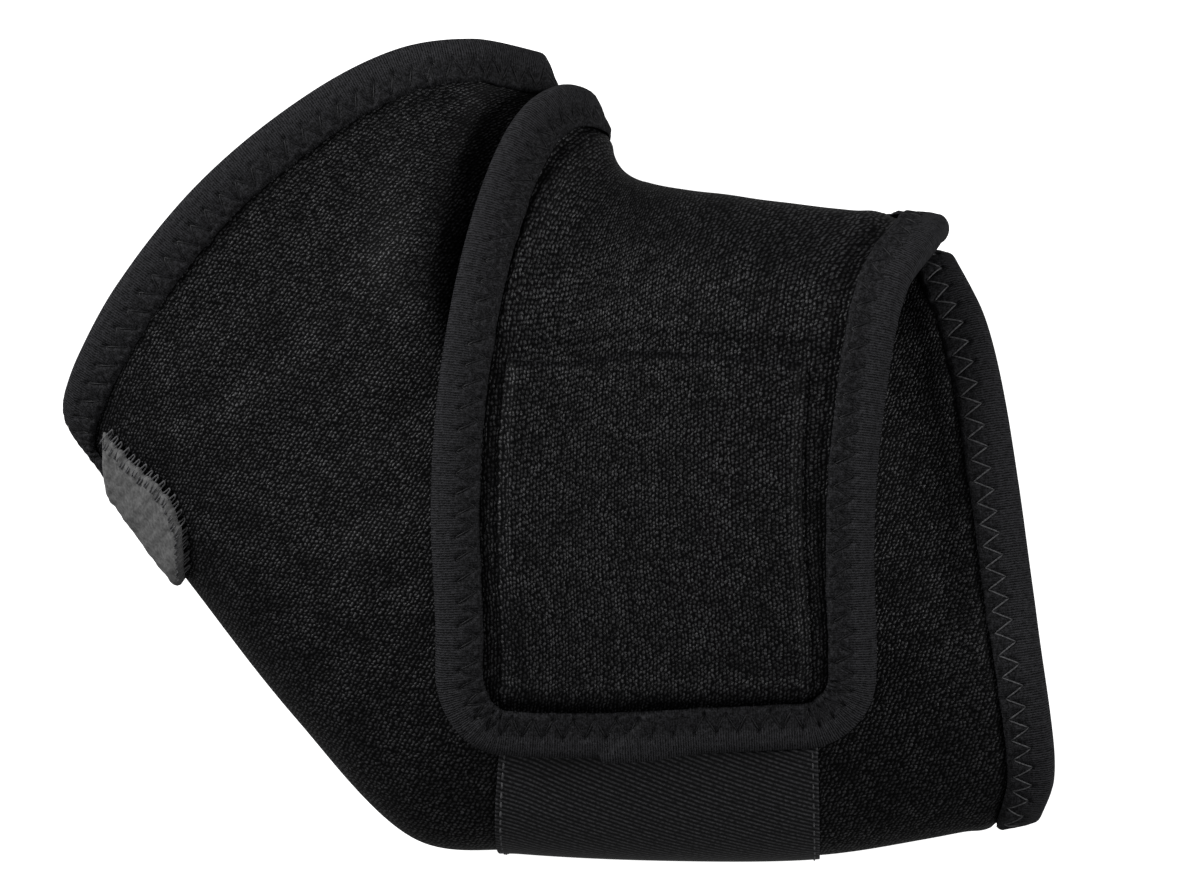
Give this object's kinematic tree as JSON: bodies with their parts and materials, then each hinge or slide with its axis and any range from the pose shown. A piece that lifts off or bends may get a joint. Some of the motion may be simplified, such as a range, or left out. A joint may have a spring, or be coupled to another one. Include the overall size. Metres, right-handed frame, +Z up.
{
  "type": "elbow support",
  "caption": "Bent black neoprene elbow support: soft sleeve with bound edges, a tabbed slit at the elbow side, and a wide flap that wraps over the crook and closes on the front.",
  "frame": {"origin": "middle of the support's footprint, on the surface that it lies on", "axes": "+X runs along the forearm from the elbow to the forearm opening, +Y runs from the elbow side to the crook side, +Z points up from the back that the support lies on, through the front that the flap closes on"},
  "size_m": [0.2366, 0.1966, 0.0624],
  "materials": {
    "jersey": "black knitted loop jersey laminated on neoprene foam, matt",
    "edge_tape": "black ribbed binding tape with zigzag stitching, slightly shiny thread",
    "hook_tape": "dark grey hook tape, matt",
    "woven_label": "black twill ribbon, plain, low sheen"
  },
  "bodies": {
    "root": {"sleeve": "jersey", "upper_edge_tape": "edge_tape", "forearm_edge_tape": "edge_tape", "slit_tab": "hook_tape", "label": "woven_label", "flap": "jersey", "flap_edge_tape": "edge_tape", "hook_patch": "hook_tape"}
  },
  "joints": []
}
